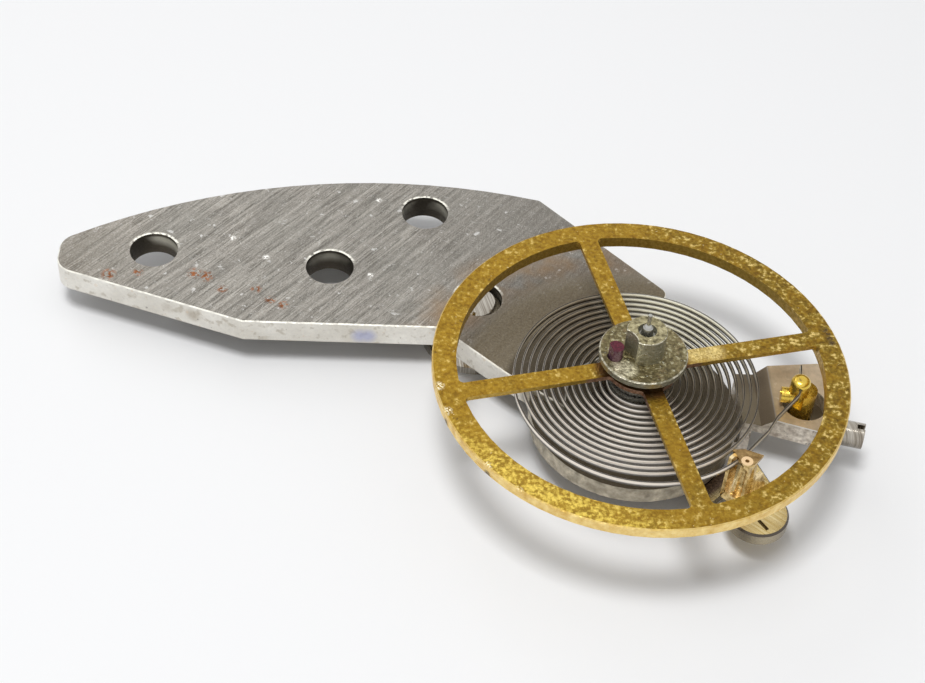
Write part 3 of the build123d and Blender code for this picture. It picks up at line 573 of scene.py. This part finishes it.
def wheel_metal(tree, place, grain, broad, patch):
    """The alloy's colour, from clean gold to dull olive, in patches and towards the right."""
    mottle = math_node(tree, "ADD", times(tree, grain["Grain"], 0.62), times(tree, broad["Grain"], 0.38))
    mottle = span(tree, mottle, 0.0, 1.0, 0.10, 0.95)
    # darker and more olive towards the right
    rightwards = span_mm(tree, axes_of(tree, place)["X"], -1.0, 4.0)
    dulling = math_node(tree, "ADD", times(tree, rightwards, 0.55), times(tree, patch["Grain"], 0.45))
    dulling = times(tree, dulling, span(tree, broad["Grain"], 0.2, 0.8, 0.45, 1.25))
    clean = ramp(tree, mottle, CLEAN_GOLD)
    dull = ramp(tree, span(tree, mottle, 0.22, 0.80), DULL_OLIVE)
    return mix(tree, span(tree, dulling, 0.1, 0.8), clean, dull)


print("wheel metal ready")

# %% [markdown]
# At the lower left the wheel faces the light and glows, a painted highlight. The light grains are the tops
# between fine pits, so colour, roughness and relief follow the same noise. A few nicks, one long pit, a light
# patch on the right arm and two dark spots on the wall are put where the photograph has them. The hub, under
# the rollers, is darkened by painted shade, and its wall is coppery.

# %% Finish: wheel
RIM_NICKS = [(-4.65, -1.68, 1.4), (-3.78, -3.30, 1.4), (-3.10, -4.00, 1.4), (-4.83, -0.9, 1.4)]
LONG_PIT = [(4.62, 1.35, 1.4), (4.67, 1.20, 1.4), (4.70, 1.05, 1.4), (4.74, 0.90, 1.4)]
ARM_LIGHT = [(1.35, 0.40, 1.4), (1.75, 0.45, 1.4)]
WALL_SPOTS = [(-4.66, -1.80, 1.15), (-3.74, -3.32, 1.15)]
LOWER_LEFT = (-0.50, -0.87, 0)


def wheel_wall(tree, place, away, grain, fine, broad):
    """Colour of the rim's outer wall, the walls inside the rim and the hub's wall."""
    inner = mix(tree, grain["Grain"], (0.34, 0.21, 0.03), (0.62, 0.42, 0.10))
    copper = mix(tree, grain["Grain"], (0.20, 0.09, 0.05), (0.62, 0.40, 0.28))
    return layers(tree, mix(tree, broad["Grain"], (0.96, 0.74, 0.30), (0.62, 0.36, 0.05)), [
        (marks_at(tree, place, WALL_SPOTS, 0.13), 1, (0.04, 0.015, 0.01)),
        (fine["Grain"], 0.3, (0.98, 0.84, 0.46)),
        (span_mm(tree, away, 4.75, 4.60), 1, inner),
        (span_mm(tree, away, 1.50, 1.40), 1, copper),
    ])


def wheel_finish():
    material, tree, shader = metal("rim_alloy", 0.36, 0.92)
    place = place_on(tree)
    away = from_axis(tree, place)
    grain = specks(tree, place, 0.085, 0.26, 0.66)
    fine = specks(tree, place, 0.045, 0.12, 0.68)
    broad = specks(tree, place, 0.22, 2.2, 0.50)
    patch = specks(tree, place, 0.7, 5.0, 0.50)
    glow = span_mm(tree, towards(tree, place, LOWER_LEFT), 3.9, 4.6)
    nicks = times(tree, marks_at(tree, place, RIM_NICKS, 0.16), span(tree, fine["Grain"], 0.4, 0.6))
    pit = times(tree, marks_at(tree, place, LONG_PIT, 0.12), span(tree, grain["Grain"], 0.35, 0.55))
    face = layers(tree, wheel_metal(tree, place, grain, broad, patch), [
        (times(tree, glow, span(tree, grain["Grain"], 0.35, 0.85, 0.10, 0.90)), 1, (1.0, 0.76, 0.15)),
        (patch["Cloud"], 0.25, (0.26, 0.15, 0.02)),
        # bright specks: painted glints where the grain sparkles
        (fine["Specks"], 0.55, (1.0, 0.86, 0.50)),
        (grain["Specks"], 0.7, (0.12, 0.07, 0.02)),
        # painted shade on the hub under the rollers
        (span_mm(tree, away, 1.22, 1.05), 0.75, (0.12, 0.045, 0.02)),
        (nicks, 1, (1.0, 0.92, 0.66)),
        (pit, 0.85, (0.05, 0.03, 0.02)),
        (times(tree, marks_at(tree, place, ARM_LIGHT, 0.40), fine["Grain"]), 0.8, (0.98, 0.80, 0.36)),
    ])
    wall = wheel_wall(tree, place, away, grain, fine, broad)
    paint(tree, shader, mix(tree, flat_faces(tree), wall, face), grain["Grain"], 0.50, 0.28)
    raised = math_node(tree, "ADD", grain["Grain"], times(tree, fine["Grain"], 0.5))
    bump(tree, shader, math_node(tree, "SUBTRACT", raised, times(tree, pit, 2.0)), 0.009, 0.8)
    return material


rim_alloy = wheel_finish()
print("finish", rim_alloy.name)

# %% [markdown]
# Gilt brass covers the stud, its pin and the cup of the hole jewel. It is a warm, cleaner yellow than the
# wheel. The setting round that cup has the same finish, darkened as painted shade. The boot is pinker, with
# light and brown patches on its walls and a brown cover plate over the spring.

# %% Finish: gilt brass and boot
def gilt_finish(name, light, deep):
    material, tree, shader = metal(name, 0.24, 0.95)
    marks = specks(tree, place_on(tree), 0.07, 0.16, 0.61)
    colour = layers(tree, light, [(marks["Cloud"], 1, deep), (marks["Specks"], 0.7, (0.22, 0.13, 0.04))])
    paint(tree, shader, colour, marks["Grain"], 0.14, 0.34)
    bump(tree, shader, marks["Grain"], 0.005, 0.6)
    return material


def boot_finish():
    material, tree, shader = metal("boot_brass", 0.22, 0.95)
    place = place_on(tree)
    height = axes_of(tree, place)["Z"]
    marks = specks(tree, place, 0.12, 0.22, 0.60)
    wall = mix(tree, marks["Grain"], (0.30, 0.17, 0.03), (0.98, 0.76, 0.38))
    cover = mix(tree, marks["Grain"], (0.16, 0.09, 0.03), (0.42, 0.28, 0.12))
    top = layers(tree, (0.92, 0.74, 0.44), [
        (span_mm(tree, height, 0.90, 0.94), 1, cover),
        (span_mm(tree, height, 0.97, 1.00), 1, (0.86, 0.62, 0.36)),
    ])
    paint(tree, shader, mix(tree, flat_faces(tree), wall, top), marks["Grain"], 0.14, 0.32)
    bump(tree, shader, marks["Grain"], 0.006, 0.6)
    return material


gilt_brass = gilt_finish("gilt_brass", (0.80, 0.58, 0.10), (0.46, 0.29, 0.045))
boot_brass = boot_finish()
# the setting's brass, darkened as painted shade
brass_in_painted_shade = gilt_finish("brass_in_painted_shade", (0.16, 0.13, 0.10), (0.09, 0.07, 0.06))
print("finishes", gilt_brass.name, boot_brass.name, brass_in_painted_shade.name)

# %% [markdown]
# Turned steel shows rings round the balance axis: a wave on the distance from the axis draws the tool's
# marks, on the staff and the collet.

# %% Finish: turned steel
TURNING_PITCH = 0.06


def turned_finish():
    material, tree, shader = metal("turned_steel", 0.28, 0.95)
    place = place_on(tree)
    rings = math_node(tree, "SINE", times(tree, from_axis(tree, place), 2 * math.pi / (TURNING_PITCH * MM)))
    marks = specks(tree, place, 0.05, 0.22, 0.60)
    colour = mix(tree, span(tree, rings, -1, 1, 0.0, 0.35), (0.44, 0.44, 0.42), (0.70, 0.70, 0.68))
    colour = layers(tree, colour, [(marks["Cloud"], 0.5, (0.26, 0.25, 0.20))])
    paint(tree, shader, colour, marks["Grain"], 0.18, 0.38)
    bump(tree, shader, math_node(tree, "ADD", rings, marks["Grain"]), 0.003, 0.6)
    return material


turned_steel = turned_finish()
print("finish", turned_steel.name)

# %% [markdown]
# The rollers are steel under dried oil, so a strong speckle of olive, brown and bright metal covers them.
# The small roller's top is lighter. A light patch at the lower left is a painted reflection of the window,
# and the edges carry a broken painted highlight.

# %% Finish: rollers
OILED_STEEL = [
    (0.0, (0.04, 0.030, 0.012)), (0.40, (0.125, 0.098, 0.042)), (0.70, (0.24, 0.20, 0.095)),
    (1.0, (0.60, 0.56, 0.38)),
]
WINDOW_REFLECTION_SPOTS = [(-0.58, -0.56, 1.85), (-0.66, -0.78, 1.85), (-0.42, -0.62, 1.85)]


def roller_finish():
    material, tree, shader = metal("roller_steel", 0.34, 0.8)
    place = place_on(tree)
    grain = specks(tree, place, 0.09, 0.20, 0.58)
    fine = specks(tree, place, 0.045, 0.11, 0.63)
    small_top = span_mm(tree, axes_of(tree, place)["Z"], 2.1, 2.3)
    window_reflection = times(tree, marks_at(tree, place, WINDOW_REFLECTION_SPOTS, 0.30), span(tree, grain["Grain"], 0.0, 0.8))
    face = layers(tree, ramp(tree, grain["Grain"], OILED_STEEL), [
        (grain["Cloud"], 0.40, (0.14, 0.12, 0.06)),
        (grain["Specks"], 0.45, (0.26, 0.19, 0.10)),
        (fine["Specks"], 0.55, (0.80, 0.80, 0.66)),
        (times(tree, small_top, grain["Grain"]), 0.8, (0.52, 0.47, 0.28)),
        # painted reflection of the window
        (window_reflection, 1, (0.86, 0.80, 0.58)),
    ])
    wall = mix(tree, grain["Grain"], (0.22, 0.21, 0.14), (0.44, 0.42, 0.33))
    # painted highlight on the edges
    edge_highlight = times(tree, slanting_edges(tree), span(tree, grain["Grain"], 0.3, 0.8))
    colour = mix(tree, edge_highlight, mix(tree, flat_faces(tree), wall, face), (0.66, 0.62, 0.50))
    paint(tree, shader, colour, grain["Grain"], 0.50, 0.22)
    bump(tree, shader, math_node(tree, "ADD", grain["Grain"], times(tree, fine["Grain"], 0.4)), 0.012, 0.9)
    return material


roller_steel = roller_finish()
print("finish", roller_steel.name)

# %% [markdown]
# The eccentric and the screw are polished, with only hairlines in the polish. The jewels are ruby: a dark
# purple-red stone, a little cloudy inside, with a painted lavender grey reflection on its sides.

# %% Finish: polished steel and ruby
def polished_finish():
    material, tree, shader = metal("polished_steel", 0.14)
    place = place_on(tree)
    lines = brushing(tree, place, 75, 0.03, 1.5)
    marks = specks(tree, place, 0.05, 0.3, 0.66)
    colour = layers(tree, mix(tree, lines["Lines"], (0.24, 0.21, 0.17), (0.72, 0.69, 0.62)), [
        (marks["Cloud"], 0.5, (0.14, 0.105, 0.07)),
    ])
    paint(tree, shader, colour, lines["Fine"], 0.08, 0.20)
    bump(tree, shader, lines["Lines"], 0.002, 0.4)
    return material


def ruby_finish():
    material, tree, shader = metal("ruby", 0.08, 0.0)
    marks = specks(tree, place_on(tree), 0.05, 0.2, 0.6)
    top = mix(tree, marks["Grain"], (0.17, 0.002, 0.024), (0.045, 0.001, 0.008))
    # the sides: the stone's dark red with a painted lavender grey reflection
    side = mix(tree, marks["Grain"], (0.26, 0.16, 0.19), (0.07, 0.005, 0.02))
    paint(tree, shader, layers(tree, side, [(flat_faces(tree), 0.9, top)]), marks["Grain"], 0.05, 0.16)
    shader.inputs["Transmission Weight"].default_value = 0.15
    shader.inputs["IOR"].default_value = 1.76
    shader.inputs["Specular IOR Level"].default_value = 0.10
    return material


polished_steel = polished_finish()
ruby = ruby_finish()
print("finishes", polished_steel.name, ruby.name)

# %% [markdown]
# Now each carried-over solid gets its finish. Its mesh isn't touched, only its material slots are.

# %% Give the solids their finishes
finishes = {
    plate_metal: ["balance_cock"],
    holder_metal: ["stud_holder"],
    index_metal: ["regulator"],
    rim_alloy: ["balance_wheel"],
    gilt_brass: ["chaton", "hairspring_stud", "stud_pin"],
    brass_in_painted_shade: ["shock_setting"],
    boot_brass: ["regulator_boot"],
    turned_steel: ["balance_staff", "collet", "collet_pin"],
    roller_steel: ["impulse_roller", "safety_roller"],
    polished_steel: ["regulating_eccentric", "stud_screw", "lyre_spring"],
    ruby: ["hole_jewel", "cap_jewel", "impulse_jewel"],
}
for material, names in finishes.items():
    for name in names:
        slots = nodes[name].data.materials
        slots.clear()
        slots.append(material)
    print(material.name, "on", ", ".join(names))

# %% [markdown]
# The hairspring is a flat strip wound in half turns that meet on one line, so the coil widens by one pitch a
# turn without a corner. Its last half turn widens a little more, then it leaves for the stud in straight runs
# with two small kinks and a bend. When the balance swings, the real spring winds and unwinds between the
# collet and the stud. The solid can't do that, so a piece made here takes its place, and blends between the
# two bodies along its length. Lengths are in millimetres and angles in degrees.

# %% Path of the hairspring
SPRING_WIDTH = 0.04
SPRING_HEIGHT = 0.15
SPRING_MIDDLE = 0.70 + SPRING_HEIGHT / 2
START_RADIUS = 0.745
END_RADIUS = 3.23
END_GROWTH = 0.25
END_ANGLE = -41.0
HALF_TURNS = 27
PITCH = (END_RADIUS - END_GROWTH - START_RADIUS) / (HALF_TURNS - 1) * 2
STEPS = 48
# Each run on the way to the stud: its length, the bend after it and the bend's radius.
LEAVING = ((0.764, 10.0, 0.30), (0.498, -10.0, 0.30), (0.845, 32.0, 0.50), (0.80, 0.0, 0.0))
BEND_STEP = 4


def at(radius, angle):
    """Point at a radius and an angle in degrees from the balance axis, in millimetres."""
    return Vector((radius * math.cos(math.radians(angle)), radius * math.sin(math.radians(angle)), 0))


def crossing(index):
    """Distance from the axis at which the strip crosses the line where half turns meet."""
    return END_RADIUS if index == HALF_TURNS else START_RADIUS + PITCH / 2 * index


def wound_points():
    """Points of the half turns, each an arc whose centre is shifted by half of the turn's growth."""
    points = []
    for index in range(HALF_TURNS):
        growth = crossing(index + 1) - crossing(index)
        begin = END_ANGLE + 180 + 180 * (index % 2)
        centre = at(growth / 2, begin + 180)
        radius = crossing(index) + growth / 2
        points += [centre + at(radius, begin + 180 * step / STEPS) for step in range(STEPS)]
    return points


def leaving_points():
    """Points from the end of the last turn to the stud."""
    heading = END_ANGLE + 90
    points = [at(END_RADIUS, END_ANGLE)]
    for run, bend, bend_radius in LEAVING:
        points.append(points[-1] + at(run, heading))
        side = 90 if bend > 0 else -90
        pivot = points[-1] + at(bend_radius, heading + side)
        count = round(abs(bend) / BEND_STEP)
        for step in range(1, count + 1):
            points.append(pivot - at(bend_radius, heading + side + bend * step / count))
        heading += bend
    return points


route = wound_points() + leaving_points()
print("hairspring", len(route), "points, pitch", round(PITCH, 4), "mm")

# %% [markdown]
# Geometry Nodes turn the path into a strip: Curve to Mesh carries a flat rectangle along it. The strip's
# width and height are the tree's named inputs, so the same tree would wind any flat spring.

# %% Geometry Nodes tree: flat strip along a path
def strip_tree():
    tree = bpy.data.node_groups.new("flat_strip", "GeometryNodeTree")
    for label, kind in (("Geometry", "Geometry"), ("Strip Width", "Float"), ("Strip Height", "Float"),
                        ("Finish", "Material")):
        tree.interface.new_socket(label, in_out="INPUT", socket_type="NodeSocket" + kind)
    tree.interface.new_socket("Geometry", in_out="OUTPUT", socket_type="NodeSocketGeometry")
    given = tree.nodes.new("NodeGroupInput").outputs
    result = tree.nodes.new("NodeGroupOutput").inputs
    upright = add(tree, "GeometryNodeSetCurveNormal", Curve=given["Geometry"])
    upright.mode = "Z_UP"
    profile = add(tree, "GeometryNodeCurvePrimitiveQuadrilateral", Width=given["Strip Width"],
                  Height=given["Strip Height"])
    sweep = add(tree, "GeometryNodeCurveToMesh", Curve=upright.outputs["Curve"],
                Profile_Curve=profile.outputs["Curve"], Fill_Caps=True)
    real = add(tree, "GeometryNodeRealizeInstances", Geometry=sweep.outputs["Mesh"])
    painted = add(tree, "GeometryNodeSetMaterial", Geometry=real.outputs["Geometry"],
                  Material=given["Finish"])
    tree.links.new(painted.outputs["Geometry"], result["Geometry"])
    return tree


def set_input(modifier, label, value):
    """Sets a Geometry Nodes input by the socket's own identifier."""
    for item in modifier.node_group.interface.items_tree:
        if item.item_type == "SOCKET" and item.in_out == "INPUT" and item.name == label:
            modifier[item.identifier] = value


flat_strip = strip_tree()
print("tree", flat_strip.name)

# %% [markdown]
# The strip is of a hard grey alloy. Its tall sides catch the light, most of all at the upper right and in
# front, while its narrow top edge is dark. Little light gets down between the turns, so the sides darken
# towards the bottom, and that keeps the turns apart to the eye.

# %% Finish: hairspring
UPPER_RIGHT = (0.56, 0.83, 0)


def spring_finish():
    material, tree, shader = metal("spring_alloy", 0.34, 0.45)
    place = place_on(tree)
    marks = specks(tree, place, 0.06, 0.3, 0.62)
    part = math_node(tree, "DIVIDE", towards(tree, place, UPPER_RIGHT), from_axis(tree, place))
    side = layers(tree, mix(tree, marks["Cloud"], (0.56, 0.49, 0.37), (0.34, 0.28, 0.20)), [
        (span(tree, part, 0.55, 0.92), 1, (1.0, 0.97, 0.82)),
        (span(tree, part, -0.10, -0.45), 1, (0.92, 0.86, 0.78)),
        (span_mm(tree, axes_of(tree, place)["Z"], 0.775, 0.735), 0.86, (0.04, 0.033, 0.025)),
    ])
    top = mix(tree, marks["Grain"], (0.012, 0.010, 0.008), (0.06, 0.05, 0.04))
    paint(tree, shader, mix(tree, flat_faces(tree), side, top), marks["Grain"], 0.28, 0.42)
    bump(tree, shader, marks["Grain"], 0.001, 0.4)
    return material


spring_alloy = spring_finish()
print("finish", spring_alloy.name)

# %% [markdown]
# The path becomes a curve, the tree sweeps the strip along it, and the evaluated result is kept as a plain
# mesh. The curve has done its work then and goes.

# %% Wind the hairspring
path = bpy.data.curves.new("hairspring_path", "CURVE")
path.dimensions = "3D"
spline = path.splines.new("POLY")
spline.points.add(len(route) - 1)
for spot, point in zip(spline.points, route):
    spot.co = (point.x * MM, point.y * MM, SPRING_MIDDLE * MM, 1)
carrier = bpy.data.objects.new("hairspring_path", path)
bpy.context.scene.collection.objects.link(carrier)
winding = carrier.modifiers.new("flat_strip", "NODES")
winding.node_group = flat_strip
set_input(winding, "Strip Width", SPRING_WIDTH * MM)
set_input(winding, "Strip Height", SPRING_HEIGHT * MM)
set_input(winding, "Finish", spring_alloy)
carrier.update_tag()
bpy.context.view_layer.update()
evaluated = carrier.evaluated_get(bpy.context.evaluated_depsgraph_get())
coil_mesh = bpy.data.meshes.new_from_object(evaluated)
bpy.data.objects.remove(carrier)
coil = bpy.data.objects.new("hairspring_coil", coil_mesh)
bpy.context.scene.collection.objects.link(coil)
print("coil", len(coil_mesh.vertices), "points", len(coil_mesh.polygons), "faces",
      "size mm", [round(size / MM, 2) for size in coil.dimensions])

# %% [markdown]
# A spiral needs the share by length along the strip instead: the inner end follows the collet, the outer
# end stays in the stud, and every turn between takes its part of the swing. Each ring of four points
# belongs to one point of the path. The last turn and the runs after it stay with the stud.

# %% Share the swing along the strip
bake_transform(coil, "stud_holder", "balance", start=at(3, 0) * MM, end=at(1, 0) * MM)
RING_POINTS = 4
lengths = [0.0]
for before, after in zip(route, route[1:]):
    lengths.append(lengths[-1] + (after - before).length)
outer_share = 1 - lengths[(HALF_TURNS - 2) * STEPS] / lengths[-1]
share = coil_mesh.attributes["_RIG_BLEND"].data
for vertex in coil_mesh.vertices:
    left = 1 - lengths[vertex.index // RING_POINTS] / lengths[-1]
    share[vertex.index].value = max(0.0, (left - outer_share) / (1 - outer_share))
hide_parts("hairspring")
print("coil shares the swing over", round(lengths[-1], 1), "mm of strip")

# %% [markdown]
# The floor is a plain pale sheet just under the lowest piece. Its colour, not extra light, makes the
# picture's background, and it keeps the part's soft shadow.

# %% Floor
FLOOR_COLOUR = (0.925, 0.93, 0.94, 1)
FLOOR_SIZE = 3.0
FLOOR_GAP = 0.004
floor_level = cad_box[0][2] - FLOOR_GAP * MM
bpy.ops.mesh.primitive_plane_add(size=FLOOR_SIZE, location=(0, 0, floor_level))
floor = bpy.context.object
floor.name = "floor"
floor_paint, _, shader = metal("floor_paint", 0.9, 0.0)
shader.inputs["Base Color"].default_value = FLOOR_COLOUR
shader.inputs["Specular IOR Level"].default_value = 0.1
floor.data.materials.append(floor_paint)
print("floor at", round(floor_level / MM, 3), "mm")

# %% [markdown]
# Light: a pale world fills from everywhere. The camera and the metal's reflections see it white, while the
# surfaces are lit by less than half of that.

# %% World
WORLD_LIGHT = 0.43
world = bpy.data.worlds.new("studio")
bpy.context.scene.world = world
world.use_nodes = True
sky = world.node_tree
background = sky.nodes["Background"]
rays = add(sky, "ShaderNodeLightPath").outputs
seen = either(sky, [rays["Is Camera Ray"], rays["Is Glossy Ray"], rays["Is Transmission Ray"]])
level = math_node(sky, "ADD", WORLD_LIGHT, times(sky, seen, 1 - WORLD_LIGHT))
background.inputs["Color"].default_value = (1.0, 1.0, 1.0, 1)
sky.links.new(level, background.inputs["Strength"])
print("world", world.name, "lights with", WORLD_LIGHT)

# %% [markdown]
# One broad lamp, high up and a little to the front left, throws the rim's soft shadow on the floor just
# outside it. A weak lamp behind lifts the dark side.

# %% Lamps
AIM = (-3.0, 1.0, 0.0)


def lamp(name, place, size, share):
    """A square lamp at a place in mm, as bright as gives the floor this share of its light."""
    light = bpy.data.lights.new(name, "AREA")
    light.shape = "SQUARE"
    light.size = size * MM
    spot = Vector(place) * MM
    beam = Vector(AIM) * MM - spot
    light.energy = share * math.pi ** 2 * beam.length ** 2 / abs(beam.normalized().z)
    holder = bpy.data.objects.new(name, light)
    holder.location = spot
    holder.rotation_euler = beam.to_track_quat("-Z", "Y").to_euler()
    bpy.context.scene.collection.objects.link(holder)


lamp("window_light", (-20, -23, 120), 38, 0.55)
lamp("back_fill", (-60, 90, 70), 80, 0.07)

# %% [markdown]
# The camera looks down at about 46 degrees from the front. Its place and turn were worked out from the
# rim's circles, so the wheel lands where the photograph has it.

# %% Camera
CAMERA_PLACE = (-6.3589, -29.3272, 32.336)
right = Vector((0.99834179, -0.01163786, 0.05637575))
down = Vector((0.03076661, -0.71985728, -0.69343991))
forward = Vector((0.04865265, 0.69402453, -0.71830555))
camera = bpy.data.cameras.new("camera")
camera.sensor_width = 36
camera.lens = 70.05
camera.clip_start = 0.001
camera.clip_end = 10
turn = Matrix((right, -down, -forward)).transposed().to_4x4()
view = bpy.data.objects.new("camera", camera)
view.matrix_world = Matrix.Translation(Vector(CAMERA_PLACE) * MM) @ turn
bpy.context.scene.collection.objects.link(view)
bpy.context.scene.camera = view
bpy.context.scene.view_settings.view_transform = "Standard"
print("camera at", [round(c / MM, 2) for c in view.location], "mm")
